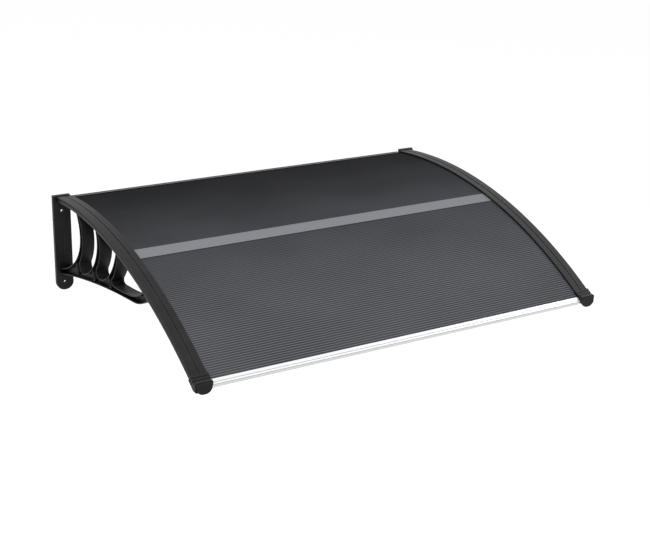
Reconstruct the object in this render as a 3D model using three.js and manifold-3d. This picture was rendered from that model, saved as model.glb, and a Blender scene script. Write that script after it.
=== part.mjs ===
import * as THREE from 'three';
import { mergeVertices } from 'three/addons/utils/BufferGeometryUtils.js';
import Module from 'manifold-3d';

const wasm = await Module();
wasm.setup();

// Door canopy: a tinted twin-wall sheet bent over two wall brackets, clamped to them by
// cover strips, and edged with aluminium profiles at the wall and at the front.
// Millimetres. X runs along the wall, the canopy reaches out towards -Y, and +Z is up.
// The words used for places:
// reach   level distance from the wall
// height  distance above the foot of the wall plates
// inset   distance in from the outer side of a wall plate
// rise    distance out of the sheet's top face, square to the arch

// Whole canopy
const overallWidth = 1220;
const roofReach = 915;
const fit = 0.3;

// Arch of the sheet's top face, seen from the side
const archRadius = 1370;
const crownReach = 210;
const crownHeight = 290.5;

// Twin-wall sheet
const sheetThickness = 5;
const sheetSkin = 0.8;
const sheetWeb = 0.8;
const flutePitch = 6.9;
const sheetRearReach = 13;

// Wall plate of a bracket
const plateWidth = 50;
const plateHeight = 285;
const plateDepth = 12;
const plateFace = 3.5;
const plateWall = 3.5;
const plateFootRadius = 24;
const fixingRadius = 4.2;
const fixingLowHeight = 24;
const fixingHighHeight = 239;
const fixingLand = 13;
const middleLand = 7;

// Arm of a bracket: a flange under the sheet and a wall beside its edge
const armInset = 11;
const armWidth = 43;
const armFlange = 3.7;
const armWall = 3.5;

// Brace under the arm
const braceWidth = 35;
const braceWeb = 4;
const rimWidth = 2.6;
const chordFootHeight = 51;
const chordBow = 21;
const chordNoseReach = 560;
const chordNoseDrop = 65;
const braceTipReach = 650;
const plateBead = 1.2;
const pocketTipGap = 8;
const pocketRoot = 0.4;
const dropRadius = 4;
const dropShoulder = 0.22;
const dropShoulderWidth = 0.45;

// Openings between the brace's ribs, from the wall outwards. Each is given by places on its
// edge: a reach, or a reach with a height above the lower edge or a share of the way up.
const openingShapes = [
  {
    rearHead: 6, rearBelly: [6, 0.6], rearFoot: [6, 26], corner: [6, 18],
    base: [14, 17], sweep: [120, 20], frontBelly: [245, 0.42], frontHead: 162,
  },
  {
    rearHead: 179, rearBelly: [236, 0.61], rearFoot: [178, 45], corner: [180, 22],
    base: [200, 18], sweep: [262, 15], frontBelly: [350, 0.6], frontHead: 304,
  },
  {
    rearHead: 314, rearBelly: [365, 0.75], rearFoot: [306, 42], corner: [303, 22],
    base: [324, 19], sweep: [380, 15], frontBelly: [432, 0.52], frontHead: 450,
  },
  {
    rearHead: 464, rearBelly: [448, 0.53], rearFoot: [417, 32], corner: [411, 17],
    base: [434, 16], sweep: [520, 12], frontBelly: [585, 0.196], frontHead: 626,
  },
];

// Drop-shaped holes where the ribs meet the lower edge
const dropShapes = [
  { tip: [149, 40], tail: [158, 12] },
  { tip: [277, 32], tail: [287, 9] },
  { tip: [393, 31], tail: [406, 9] },
];

// Cover strip over the arm
const coverHeight = 6;
const coverChamfer = 1.3;
const coverSetback = 1.6;
const coverSetbackHeight = 1.9;
const grooveWidth = 3.2;
const grooveDepth = 1.8;
const grooveInset = 34;

// Centre bar under the sheet
const barWidth = 43;
const barThickness = 3;
const barReach = 468;
const barSocket = 14;
const barPad = 4;
const barPadMargin = 5;

// Aluminium edge profiles
const profileWall = 1.8;
const frontLip = 13;
const frontFace = 15;
const frontGroove = 1;
const frontGrooveDepth = 0.6;
const frontGrooveSetback = 5.4;
const frontGrooveDrop = 0.8;
const rearLip = 8;
const rearWallAbove = 3;
const rearWallBelow = 13;

// End cap on the front of an arm
const capWall = 1.6;
const capSleeve = 30;
const capNoseLength = 9;
const capNoseBack = 5.5;
const capNoseHeight = 26.5;
const capNoseCrown = 1.4;
const capTopRadius = 4;
const capOuterFootRadius = 4;
const capInnerFootRadius = 16;
const capBevel = 1.5;
const capFaceDepth = 2.5;
const capFaceInset = 1.5;
const capFaceRadius = 18;
const capFaceDrop = 31.5;
const capGroove = 2.4;
const capGrooveDepth = 0.9;
const capGroovePlaces = [-14, -23];

// Screws
const shankRadius = 1.65;
const headRadius = 3.6;
const headHeight = 2.2;
const headChamfer = 1.1;
const screwInset = 23.5;
const coverSkin = 1.3;
const coverScrewReaches = [100, 240, 385, 550, 700, 840];
const capScrewSetback = 17.3;

// Smoothness of the round shapes
const archSteps = 32;
const bandSteps = 4;
const curveSteps = 8;
const roundSteps = 10;
const noseSteps = 6;

// How far a cutting shape runs on past what it cuts
const overshoot = 1;

// Sizes that follow from those above
const archCentreHeight = crownHeight - archRadius;
const leftSide = -overallWidth / 2;
const armInnerInset = armInset + armWidth;
const seatRise = -sheetThickness - fit;
const underRise = seatRise - armFlange;
const coverTopRise = fit + coverHeight;
const sheetEdgeInset = armInset + armWall + fit;
const capOuterInset = armInset - fit - capWall;
const capInnerInset = armInnerInset + fit + capWall;
const capTopRise = coverTopRise + fit + capWall;
const capFootRise = underRise - fit - capWall;
const frontAngle = angleAt(roofReach);
const screwHoleRadius = shankRadius + fit;
const capNoseTop = archHeight(roofReach - capNoseBack, capTopRise) + capNoseCrown;
const rearWallTop = archHeight(0) + rearWallAbove;
const rearWallFoot = archHeight(0) - rearWallBelow;
const originHeight = (rearWallTop + rearWallFoot) / 2;

// Arch line

function angleAt(reach) {
  return Math.asin((reach - crownReach) / archRadius);
}

function archHeight(reach, rise = 0) {
  const radius = archRadius + rise;
  return archCentreHeight + Math.sqrt(radius ** 2 - (reach - crownReach) ** 2);
}

function archPoint(angle, rise = 0) {
  const radius = archRadius + rise;
  return new THREE.Vector2(
    crownReach + radius * Math.sin(angle),
    archCentreHeight + radius * Math.cos(angle),
  );
}

// A point given along the tangent at an angle of the arch, and out of the sheet's top face
function tangentPoint(angle, along, rise) {
  const base = archPoint(angle, rise);
  return new THREE.Vector2(base.x + along * Math.cos(angle), base.y - along * Math.sin(angle));
}

class ArchCurve extends THREE.Curve {
  constructor(startAngle, endAngle) {
    super();
    this.startAngle = startAngle;
    this.endAngle = endAngle;
  }

  getPoint(t, target = new THREE.Vector3()) {
    const angle = THREE.MathUtils.lerp(this.startAngle, this.endAngle, t);
    const place = archPoint(angle);
    return target.set(0, -place.x, place.y);
  }
}

// Solids

function toSolid(geometry) {
  geometry.deleteAttribute('normal');
  geometry.deleteAttribute('uv');
  const merged = mergeVertices(geometry, 1e-4);
  return new wasm.Manifold(new wasm.Mesh({
    numProp: 3,
    vertProperties: new Float32Array(merged.attributes.position.array),
    triVerts: new Uint32Array(merged.index.array),
  }));
}

function toGeometry(solid) {
  const mesh = solid.getMesh();
  const geometry = new THREE.BufferGeometry();
  geometry.setAttribute('position', new THREE.BufferAttribute(mesh.vertProperties, 3));
  geometry.setIndex(new THREE.BufferAttribute(mesh.triVerts, 1));
  geometry.computeVertexNormals();
  return geometry;
}

// A left-hand piece turned into its right-hand twin
function mirrored(geometry) {
  const twin = geometry.clone().scale(-1, 1, 1);
  const index = twin.index.array;
  for (let i = 0; i < index.length; i += 3) {
    [index[i], index[i + 1]] = [index[i + 1], index[i]];
  }
  twin.computeVertexNormals();
  return twin;
}

function union(solids) {
  return solids.reduce((whole, solid) => whole.add(solid));
}

function cut(solid, cutters) {
  return cutters.reduce((rest, cutter) => rest.subtract(cutter), solid);
}

// An outline of (reach, height) points, drawn out along X between two places
const sideToSpace = new THREE.Matrix4().set(
  0, 0, -1, 0,
  -1, 0, 0, 0,
  0, 1, 0, 0,
  0, 0, 0, 1,
);

function sidePrism(points, fromX, toX, holes = []) {
  const shape = new THREE.Shape(points);
  shape.holes = holes.map((hole) => new THREE.Path(hole));
  const options = { depth: toX - fromX, bevelEnabled: false, steps: 1 };
  const geometry = new THREE.ExtrudeGeometry(shape, options);
  geometry.translate(0, 0, -toX);
  geometry.applyMatrix4(sideToSpace);
  return toSolid(geometry);
}

// The same on the left bracket, between two insets
function leftPrism(points, fromInset, toInset) {
  return sidePrism(points, leftSide + fromInset, leftSide + toInset);
}

// A section of (inset, rise) points, swept along the arch on the left side
function leftArchSweep(section, startAngle, endAngle) {
  const shape = new THREE.Shape(section.map(([inset, rise]) => (
    new THREE.Vector2(-leftSide - inset, -rise)
  )));
  return toSolid(new THREE.ExtrudeGeometry(shape, {
    steps: archSteps,
    bevelEnabled: false,
    extrudePath: new ArchCurve(startAngle, endAngle),
  }));
}

function rectangle(x0, y0, x1, y1) {
  return [
    new THREE.Vector2(x0, y0),
    new THREE.Vector2(x1, y0),
    new THREE.Vector2(x1, y1),
    new THREE.Vector2(x0, y1),
  ];
}

// A band of the arch between two angles and two rises, as (reach, height) points
function archBand(startAngle, endAngle, innerRise, outerRise, steps) {
  const inner = [];
  const outer = [];
  for (let i = 0; i <= steps; i += 1) {
    const angle = THREE.MathUtils.lerp(startAngle, endAngle, i / steps);
    inner.push(archPoint(angle, innerRise));
    outer.unshift(archPoint(angle, outerRise));
  }
  return [...inner, ...outer];
}

// A rod square to the arch, on the left bracket
function radialRod(angle, inset, radius, fromRise, toRise) {
  const rod = new THREE.CylinderGeometry(radius, radius, toRise - fromRise, roundSteps);
  rod.rotateX(Math.PI / 2 + angle);
  const centre = archPoint(angle, (fromRise + toRise) / 2);
  rod.translate(leftSide + inset, -centre.x, centre.y);
  return toSolid(rod);
}

// Wall plate: a moulding with a closed face, open pockets at the back and two fixing holes

function plateOutline() {
  const radius = Math.min(plateFootRadius, plateWidth / 2);
  const shape = new THREE.Shape();
  shape.moveTo(0, plateHeight);
  shape.lineTo(0, radius);
  shape.absarc(radius, radius, radius, Math.PI, Math.PI * 1.5);
  shape.absarc(plateWidth - radius, radius, radius, Math.PI * 1.5, Math.PI * 2);
  shape.lineTo(plateWidth, plateHeight);
  return shape;
}

// A shape of (inset, height) points, drawn out from the wall between two reaches
function frontPrism(shape, fromReach, toReach) {
  const options = { depth: toReach - fromReach, bevelEnabled: false, curveSegments: roundSteps };
  const geometry = new THREE.ExtrudeGeometry(shape, options);
  geometry.rotateX(Math.PI / 2);
  geometry.translate(leftSide, -fromReach, 0);
  return toSolid(geometry);
}

function platePockets() {
  const webStart = webInset();
  const columns = [
    [plateWall, webStart],
    [webStart + braceWeb, plateWidth - plateWall],
  ];
  const middle = plateHeight / 2;
  const rows = [
    [fixingLowHeight + fixingLand, middle - middleLand],
    [middle + middleLand, fixingHighHeight - fixingLand],
  ];
  return columns.flatMap(([x0, x1]) => rows.map(([y0, y1]) => (
    frontPrism(new THREE.Shape(rectangle(x0, y0, x1, y1)), -overshoot, plateDepth - plateFace)
  )));
}

function fixingHole(height) {
  const hole = new THREE.CylinderGeometry(fixingRadius, fixingRadius, plateDepth * 2, roundSteps * 2);
  hole.translate(leftSide + plateWidth / 2, -plateDepth / 2, height);
  return toSolid(hole);
}

function wallPlate() {
  const plate = frontPrism(plateOutline(), 0, plateDepth);
  const holes = [fixingHole(fixingLowHeight), fixingHole(fixingHighHeight)];
  return cut(plate, [...platePockets(), ...holes]);
}

// Brace: the ribbed web between the wall plate and the arm

function webInset() {
  return armInset + (braceWidth - braceWeb) / 2;
}

function chordNoseHeight() {
  return archHeight(chordNoseReach, underRise) - chordNoseDrop;
}

function quadratic(from, control, to, t) {
  return (1 - t) ** 2 * from + 2 * t * (1 - t) * control + t ** 2 * to;
}

// Lower edge of the brace: a shallow bow from the plate, then a bend up to the arm
function lowerEdge(reach) {
  const nose = chordNoseHeight();
  const span = chordNoseReach - plateDepth;
  const bowControl = (chordFootHeight + nose) / 2 + chordBow;
  if (reach <= chordNoseReach) {
    return quadratic(chordFootHeight, bowControl, nose, (reach - plateDepth) / span);
  }
  const tipSpan = braceTipReach - chordNoseReach;
  const endSlope = (2 * (nose - bowControl)) / span;
  const tipControl = nose + (endSlope * tipSpan) / 2;
  const tip = archHeight(braceTipReach, underRise);
  return quadratic(nose, tipControl, tip, (reach - chordNoseReach) / tipSpan);
}

// A point of the brace, at a height above its lower edge
function aboveEdge(reach, height) {
  return new THREE.Vector2(reach, lowerEdge(reach) + height);
}

// A point of the brace, at a share of the way from its lower edge up to the arm
function acrossGap(reach, share) {
  const under = archHeight(reach, underRise);
  return new THREE.Vector2(reach, THREE.MathUtils.lerp(lowerEdge(reach), under, share));
}

// The head of an opening, which runs on past the brace's top and through the arm's place
function pastArm(reach) {
  return new THREE.Vector2(reach, archHeight(reach));
}

// An opening starts at the arm, comes down its rear side, turns a round corner, and sweeps
// along the lower edge and up its front side
function openingPoints(opening) {
  const start = pastArm(opening.rearHead);
  const rearBelly = acrossGap(...opening.rearBelly);
  const rearFoot = aboveEdge(...opening.rearFoot);
  const corner = aboveEdge(...opening.corner);
  const base = aboveEdge(...opening.base);
  const sweep = aboveEdge(...opening.sweep);
  const frontBelly = acrossGap(...opening.frontBelly);
  const end = pastArm(opening.frontHead);
  const path = new THREE.Path();
  path.moveTo(start.x, start.y);
  path.quadraticCurveTo(rearBelly.x, rearBelly.y, rearFoot.x, rearFoot.y);
  path.quadraticCurveTo(corner.x, corner.y, base.x, base.y);
  path.bezierCurveTo(sweep.x, sweep.y, frontBelly.x, frontBelly.y, end.x, end.y);
  return path.getPoints(curveSteps);
}

function dropPoints(drop) {
  const tip = aboveEdge(...drop.tip);
  const axis = aboveEdge(...drop.tail).sub(tip);
  const length = axis.length();
  const along = axis.normalize();
  const across = new THREE.Vector2(-along.y, along.x);
  const place = (a, b) => tip.clone().addScaledVector(along, a).addScaledVector(across, b);
  const centre = length - dropRadius;
  const shoulder = [length * dropShoulder, dropRadius * dropShoulderWidth];
  const points = [place(0, 0), place(shoulder[0], shoulder[1])];
  for (let i = 0; i <= curveSteps; i += 1) {
    const angle = Math.PI / 2 - (Math.PI * i) / curveSteps;
    points.push(place(centre + dropRadius * Math.cos(angle), dropRadius * Math.sin(angle)));
  }
  points.push(place(shoulder[0], -shoulder[1]));
  return points;
}

// A closed outline moved out of itself by a distance
function grown(points, distance) {
  const turn = THREE.ShapeUtils.isClockWise(points) ? -1 : 1;
  return points.map((point, i) => {
    const before = points[(i + points.length - 1) % points.length];
    const after = points[(i + 1) % points.length];
    const into = point.clone().sub(before).normalize();
    const out = after.clone().sub(point).normalize();
    const normal = new THREE.Vector2(into.y + out.y, -into.x - out.x).normalize();
    return point.clone().addScaledVector(normal, distance * turn);
  });
}

// Outline of the whole brace, or of what lies inside its rims
function braceOutline(rim, rearReach, frontReach, topRise) {
  const steps = archSteps / 2;
  const points = [];
  for (let i = 0; i <= steps; i += 1) {
    const reach = THREE.MathUtils.lerp(rearReach, frontReach, i / steps);
    points.push(new THREE.Vector2(reach, lowerEdge(Math.max(reach, plateDepth)) + rim));
  }
  for (let i = steps; i >= 0; i -= 1) {
    const reach = THREE.MathUtils.lerp(rearReach, frontReach, i / steps);
    points.push(new THREE.Vector2(reach, archHeight(reach, topRise)));
  }
  return points;
}

function brace() {
  const innerInset = armInset + braceWidth;
  const holes = [...openingShapes.map(openingPoints), ...dropShapes.map(dropPoints)];
  const whole = leftPrism(
    braceOutline(0, plateDepth / 2, braceTipReach, (underRise + seatRise) / 2),
    armInset,
    innerInset,
  );
  const outline = braceOutline(
    rimWidth,
    plateDepth - pocketRoot,
    braceTipReach - pocketTipGap,
    underRise + pocketRoot,
  );
  const [outside, inside] = [armInset - overshoot, innerInset + overshoot];
  const web = webInset();
  const pockets = [[outside, web], [web + braceWeb, inside]].map(([from, to]) => {
    const rims = holes.map((hole) => grown(hole, rimWidth));
    const kept = rims.map((rim) => leftPrism(rim, from - overshoot, to + overshoot));
    return cut(leftPrism(outline, from, to), kept);
  });
  const through = holes.map((hole) => leftPrism(hole, outside, inside));
  return cut(whole, [...through, ...pockets]);
}

// A low bead on the plate's face, where the web would run on
function faceBead() {
  const low = lowerEdge(plateDepth) + fixingLand;
  const high = fixingHighHeight - fixingLand;
  const web = webInset();
  return leftPrism(rectangle(plateDepth / 2, low, plateDepth + plateBead, high), web, web + braceWeb);
}

// Arm: flange and edge wall in one section, from inside the plate to the front

function armSweep() {
  const section = [
    [armInset, underRise],
    [armInnerInset, underRise],
    [armInnerInset, seatRise],
    [armInset + armWall, seatRise],
    [armInset + armWall, 0],
    [armInset, 0],
  ];
  return leftArchSweep(section, angleAt(plateDepth / 2), frontAngle);
}

function barHalfAngle(margin) {
  return (barWidth / 2 + margin) / archRadius;
}

// The socket for the centre bar's end, and the pad under it
function barPadSolid() {
  const centre = angleAt(barReach);
  const half = barHalfAngle(barPadMargin);
  const top = seatRise - barThickness - fit;
  const root = (top + underRise) / 2;
  const band = archBand(centre - half, centre + half, top - barPad, root, bandSteps);
  return leftPrism(band, armInnerInset - barSocket - barPad, armInnerInset);
}

function barSocketCut() {
  const centre = angleAt(barReach);
  const half = barHalfAngle(fit);
  const floor = seatRise - barThickness - fit;
  const band = archBand(centre - half, centre + half, floor, overshoot, bandSteps);
  return leftPrism(band, armInnerInset - barSocket, armInnerInset + overshoot);
}

function coverScrewHoles(fromRise, toRise) {
  return coverScrewReaches.map((reach) => (
    radialRod(angleAt(reach), screwInset, screwHoleRadius, fromRise, toRise)
  ));
}

function bracket() {
  const body = union([wallPlate(), brace(), faceBead(), armSweep(), barPadSolid()]);
  return cut(body, [
    barSocketCut(),
    ...coverScrewHoles(underRise - overshoot, seatRise + overshoot),
    capScrewHole(),
  ]);
}

// Roof sheet: two skins and the webs between them, with the flutes along the wall

function roofSheet() {
  const rearAngle = angleAt(sheetRearReach);
  const length = (frontAngle - rearAngle) * archRadius;
  const count = Math.floor((length - sheetWeb) / flutePitch);
  const step = (frontAngle - rearAngle) / count;
  const halfWeb = sheetWeb / 2 / archRadius;
  const flutes = [];
  for (let i = 0; i < count; i += 1) {
    const start = rearAngle + i * step + halfWeb * (i === 0 ? 2 : 1);
    const end = rearAngle + (i + 1) * step - halfWeb * (i === count - 1 ? 2 : 1);
    flutes.push(archBand(start, end, sheetSkin - sheetThickness, -sheetSkin, 1));
  }
  const outline = archBand(rearAngle, frontAngle, -sheetThickness, 0, count);
  const left = leftSide + sheetEdgeInset;
  const sheet = sidePrism(outline, left, -left, flutes);
  const holes = coverScrewHoles(-sheetThickness - overshoot, overshoot);
  const twins = holes.map((hole) => toSolid(mirrored(toGeometry(hole))));
  return cut(sheet, [...holes, ...twins]);
}

// Cover strip: clamps the sheet's edge, with a groove along its top and a shadow gap outside

function coverStrip() {
  const outer = armInset;
  const inner = armInnerInset;
  const top = coverTopRise;
  const gap = fit + coverSetbackHeight;
  const groove = grooveWidth / 2;
  const section = [
    [outer + coverSetback, fit],
    [inner, fit],
    [inner, top - coverChamfer],
    [inner - coverChamfer, top],
    [grooveInset + groove, top],
    [grooveInset + groove / 2, top - grooveDepth],
    [grooveInset - groove / 2, top - grooveDepth],
    [grooveInset - groove, top],
    [outer + coverChamfer, top],
    [outer, top - coverChamfer],
    [outer, gap],
    [outer + coverSetback, gap],
  ];
  const lean = Math.max(0, -Math.sin(angleAt(plateDepth))) * coverTopRise;
  const strip = leftArchSweep(section, angleAt(plateDepth + fit + lean), frontAngle);
  return cut(strip, coverScrewHoles(0, coverTopRise - coverSkin));
}

// Centre bar: a flat bar under the sheet, its ends in the sockets of the arms

function centreBar() {
  const centre = angleAt(barReach);
  const half = barHalfAngle(0);
  const band = archBand(centre - half, centre + half, seatRise - barThickness, seatRise, bandSteps);
  const left = leftSide + armInnerInset - barSocket + fit;
  return sidePrism(band, left, -left);
}

// Front profile: a slot over the sheet's edge and a face that reaches down past it, with one
// fine groove along the top and one along the face, both close to the corner

function frontProfile() {
  const slot = -sheetThickness - fit;
  const outer = fit + profileWall;
  const grooveFloor = outer - frontGrooveDepth;
  const foot = outer - frontFace;
  const topGroove = outer - frontGrooveSetback;
  const faceGroove = outer - frontGrooveDrop;
  const section = [
    [-frontLip, fit],
    [fit, fit],
    [fit, slot],
    [-frontLip, slot],
    [-frontLip, slot - profileWall],
    [fit, slot - profileWall],
    [fit, foot],
    [outer, foot],
    [outer, faceGroove - frontGroove],
    [grooveFloor, faceGroove - frontGroove],
    [grooveFloor, faceGroove],
    [outer, faceGroove],
    [outer, outer],
    [topGroove, outer],
    [topGroove, grooveFloor],
    [topGroove - frontGroove, grooveFloor],
    [topGroove - frontGroove, outer],
    [-frontLip, outer],
  ];
  const points = section.map(([along, rise]) => tangentPoint(frontAngle, along, rise));
  const left = leftSide + armInnerInset + capWall + fit * 2;
  return sidePrism(points, left, -left);
}

// Rear profile: a slot over the sheet's edge, carried by a wall that stands against the house

function rearProfile() {
  const angle = angleAt(sheetRearReach);
  const slot = -sheetThickness - fit;
  const back = -(sheetRearReach - profileWall / 2) / Math.cos(angle);
  const section = [
    [back, fit + profileWall],
    [back, slot - profileWall],
    [rearLip, slot - profileWall],
    [rearLip, slot],
    [-fit, slot],
    [-fit, fit],
    [rearLip, fit],
    [rearLip, fit + profileWall],
  ];
  const points = section.map(([along, rise]) => tangentPoint(angle, along, rise));
  const left = leftSide + armInnerInset + fit;
  const slotPart = sidePrism(points, left, -left);
  const hollow = [
    [back + profileWall, fit],
    [back + profileWall, slot],
    [-fit - profileWall, slot],
    [-fit - profileWall, fit],
  ].map(([along, rise]) => tangentPoint(angle, along, rise));
  const wall = sidePrism(rectangle(0, rearWallFoot, profileWall, rearWallTop), left, -left);
  return cut(slotPart, [sidePrism(hollow, left - overshoot, -left + overshoot)]).add(wall);
}

// End cap: a grooved sleeve over the arm's front end, and a nose with a raised front face

// A band of the arch between two distances along it, counted from the arm's front end
function capBand(fromAlong, toAlong, innerRise, outerRise) {
  const [from, to] = [fromAlong, toAlong].map((along) => frontAngle + along / archRadius);
  return archBand(from, to, innerRise, outerRise, bandSteps);
}

function capBlock(fromAlong, toAlong, shrink) {
  const band = capBand(fromAlong, toAlong, capFootRise + shrink, capTopRise - shrink);
  return leftPrism(band, capOuterInset + shrink, capInnerInset - shrink);
}

// The outline of the nose or its face, from the nose's top less an inset down to a foot
function noseOutline(inset, foot, outerRadius, innerRadius) {
  const [x0, x1] = [capOuterInset + inset, capInnerInset - inset];
  const [y0, y1] = [capNoseTop - foot, capNoseTop - inset];
  const shape = new THREE.Shape();
  shape.moveTo(x0, y1 - capTopRadius);
  shape.lineTo(x0, y0 + outerRadius);
  shape.absarc(x0 + outerRadius, y0 + outerRadius, outerRadius, Math.PI, Math.PI * 1.5);
  shape.absarc(x1 - innerRadius, y0 + innerRadius, innerRadius, Math.PI * 1.5, Math.PI * 2);
  shape.absarc(x1 - capTopRadius, y1 - capTopRadius, capTopRadius, 0, Math.PI / 2);
  shape.absarc(x0 + capTopRadius, y1 - capTopRadius, capTopRadius, Math.PI / 2, Math.PI);
  return shape;
}

function capNose() {
  const fromReach = roofReach - capNoseBack + capBevel;
  const faceReach = roofReach + capNoseLength - capFaceDepth;
  const shape = noseOutline(capBevel, capNoseHeight - capBevel, capOuterFootRadius, capInnerFootRadius);
  const geometry = new THREE.ExtrudeGeometry(shape, {
    depth: faceReach - capBevel - fromReach,
    bevelThickness: capBevel,
    bevelSize: capBevel,
    bevelSegments: 2,
    curveSegments: noseSteps,
  });
  geometry.rotateX(Math.PI / 2);
  geometry.translate(leftSide, -fromReach, 0);
  const face = noseOutline(capBevel + capFaceInset, capFaceDrop, capFaceRadius, capFaceRadius);
  return toSolid(geometry).add(frontPrism(face, faceReach - capBevel * 2, faceReach + capFaceDepth));
}

function capGrooves() {
  return capGroovePlaces.map((along) => {
    const [from, to] = [along, along + capGroove];
    const ring = capBlock(from, to, -overshoot);
    return ring.subtract(capBlock(from - overshoot, to + overshoot, capGrooveDepth));
  });
}

function capScrewHole() {
  const angle = frontAngle - capScrewSetback / archRadius;
  return radialRod(angle, screwInset, screwHoleRadius, capFootRise - overshoot, seatRise + overshoot);
}

function endCap() {
  const deep = -capSleeve - overshoot;
  const arm = capBand(deep, fit, underRise - fit, coverTopRise + fit);
  const sheet = capBand(deep, fit, seatRise, fit);
  const body = capBlock(-capSleeve, fit, 0).add(capNose());
  return cut(body, [
    leftPrism(arm, armInset - fit, armInnerInset + fit),
    leftPrism(sheet, armInnerInset, capInnerInset + overshoot),
    ...capGrooves(),
    capScrewHole(),
  ]);
}

// Screw, along +Y from its head, with the seat under the head at zero

function screwGeometry(length) {
  const profile = [
    [0, -fit - headHeight],
    [headRadius - headChamfer, -fit - headHeight],
    [headRadius, -fit - headHeight + headChamfer],
    [headRadius, -fit],
    [shankRadius, -fit],
    [shankRadius, length],
    [0, length],
  ].map(([x, y]) => new THREE.Vector2(x, y));
  return new THREE.LatheGeometry(profile, roundSteps);
}

// Materials

function finish(color, roughness, metalness) {
  return new THREE.MeshStandardMaterial({ color, roughness, metalness });
}

const blackPlastic = { color: 0x2b2b2c, roughness: 0.6, metalness: 0 };
const tintedSheet = { color: 0x4a4b50, roughness: 0.25, metalness: 0 };
const aluminium = { color: 0xdfe1e4, roughness: 0.35, metalness: 1 };
const darkAluminium = { color: 0x2e2f31, roughness: 0.4, metalness: 1 };
const zincSteel = { color: 0xa8a9aa, roughness: 0.4, metalness: 1 };

function piece(name, geometry, { color, roughness, metalness }) {
  const mesh = new THREE.Mesh(geometry, finish(color, roughness, metalness));
  mesh.name = name;
  return mesh;
}

function pair(name, solid, look) {
  const left = toGeometry(solid);
  return [piece(`left_${name}`, left, look), piece(`right_${name}`, mirrored(left), look)];
}

function screwAt(name, geometry, x, angle, rise) {
  const screw = piece(name, geometry, zincSteel);
  const place = archPoint(angle, rise);
  screw.position.set(x, -place.x, place.y);
  screw.rotation.x = Math.PI / 2 + angle;
  return screw;
}

function screws() {
  const coverLength = coverTopRise - coverSkin - fit - underRise;
  const coverScrew = mergeVertices(screwGeometry(coverLength));
  const capScrew = mergeVertices(screwGeometry(seatRise - fit - capFootRise));
  const capAngle = frontAngle - capScrewSetback / archRadius;
  return [['left', leftSide + screwInset], ['right', -leftSide - screwInset]].flatMap(([side, x]) => [
    ...coverScrewReaches.map((reach, i) => (
      screwAt(`${side}_cover_screw_${i + 1}`, coverScrew, x, angleAt(reach), underRise)
    )),
    screwAt(`${side}_cap_screw`, capScrew, x, capAngle, capFootRise),
  ]);
}

const canopy = new THREE.Group();
canopy.add(
  ...pair('bracket', bracket(), blackPlastic),
  piece('roof_sheet', toGeometry(roofSheet()), tintedSheet),
  piece('front_profile', toGeometry(frontProfile()), aluminium),
  piece('rear_profile', toGeometry(rearProfile()), darkAluminium),
  piece('centre_bar', toGeometry(centreBar()), aluminium),
  ...pair('cover_strip', coverStrip(), blackPlastic),
  ...pair('end_cap', endCap(), blackPlastic),
  ...screws(),
);
canopy.position.z = -originHeight;

export default canopy;
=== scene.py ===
import math

import bmesh
import bpy
from mathutils import Matrix, Vector
from mathutils.geometry import tessellate_polygon


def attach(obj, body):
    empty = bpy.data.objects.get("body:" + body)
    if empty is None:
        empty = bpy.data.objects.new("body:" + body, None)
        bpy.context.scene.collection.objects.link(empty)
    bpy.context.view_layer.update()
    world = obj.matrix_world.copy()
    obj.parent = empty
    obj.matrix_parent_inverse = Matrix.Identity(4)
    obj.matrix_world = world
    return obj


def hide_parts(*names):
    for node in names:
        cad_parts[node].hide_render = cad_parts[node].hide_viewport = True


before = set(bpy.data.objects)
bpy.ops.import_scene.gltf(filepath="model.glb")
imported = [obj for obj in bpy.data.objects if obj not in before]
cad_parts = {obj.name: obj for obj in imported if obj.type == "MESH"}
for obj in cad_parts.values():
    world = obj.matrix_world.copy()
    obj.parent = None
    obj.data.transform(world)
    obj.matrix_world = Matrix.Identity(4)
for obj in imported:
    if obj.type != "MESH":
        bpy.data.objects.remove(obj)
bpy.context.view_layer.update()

# A door canopy: a tinted twin-wall sheet bent over two wall brackets. Sizes are in
# millimetres here and turned into metres where points are placed. The words for places:
# reach   level distance from the wall
# height  distance above the foot of the wall plates
# inset   distance in from the outer side of a wall plate
# rise    distance out of the sheet's top face, square to the arch
MM = 0.001

OVERALL_WIDTH = 1220
ROOF_REACH = 915
FIT = 0.3

ARCH_RADIUS = 1370
CROWN_REACH = 210
CROWN_HEIGHT = 290.5

SHEET_THICKNESS = 5
SHEET_SKIN = 0.8
SHEET_WEB = 0.8
FLUTE_PITCH = 6.9
SHEET_REAR_REACH = 13
SKIN_SINK = 0.12

PLATE_WIDTH = 50
PLATE_HEIGHT = 285
PLATE_DEPTH = 12
PLATE_FACE = 3.5
PLATE_WALL = 3.5
PLATE_FOOT_RADIUS = 24
PLATE_BEAD = 1.2
BEAD_EDGE = 0.6
POCKET_CORNER = 1.5
FIXING_RADIUS = 4.2
FIXING_HEIGHTS = (24, 239)
FIXING_LAND = 13
COUNTERSINK = 1.2
COUNTERSINK_DEPTH = 1.4
COUNTERSINK_RIM = 0.2
MIDDLE_LAND = 7

ARM_INSET = 11
ARM_WIDTH = 43
ARM_FLANGE = 3.7
ARM_WALL = 3.5

BRACE_WIDTH = 35
BRACE_WEB = 4
RIM_WIDTH = 2.6
CHORD_FOOT_HEIGHT = 51
CHORD_BOW = 21
CHORD_NOSE_REACH = 560
CHORD_NOSE_DROP = 65
BRACE_TIP_REACH = 650
POCKET_TIP_GAP = 8
POCKET_ROOT = 0.4
DROP_RADIUS = 4
DROP_SHOULDER = 0.22
DROP_SHOULDER_WIDTH = 0.45

COVER_HEIGHT = 6
COVER_CHAMFER = 1.3
COVER_SETBACK = 1.6
COVER_SETBACK_HEIGHT = 1.9
GROOVE_WIDTH = 3.2
GROOVE_DEPTH = 1.8
GROOVE_INSET = 34

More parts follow.
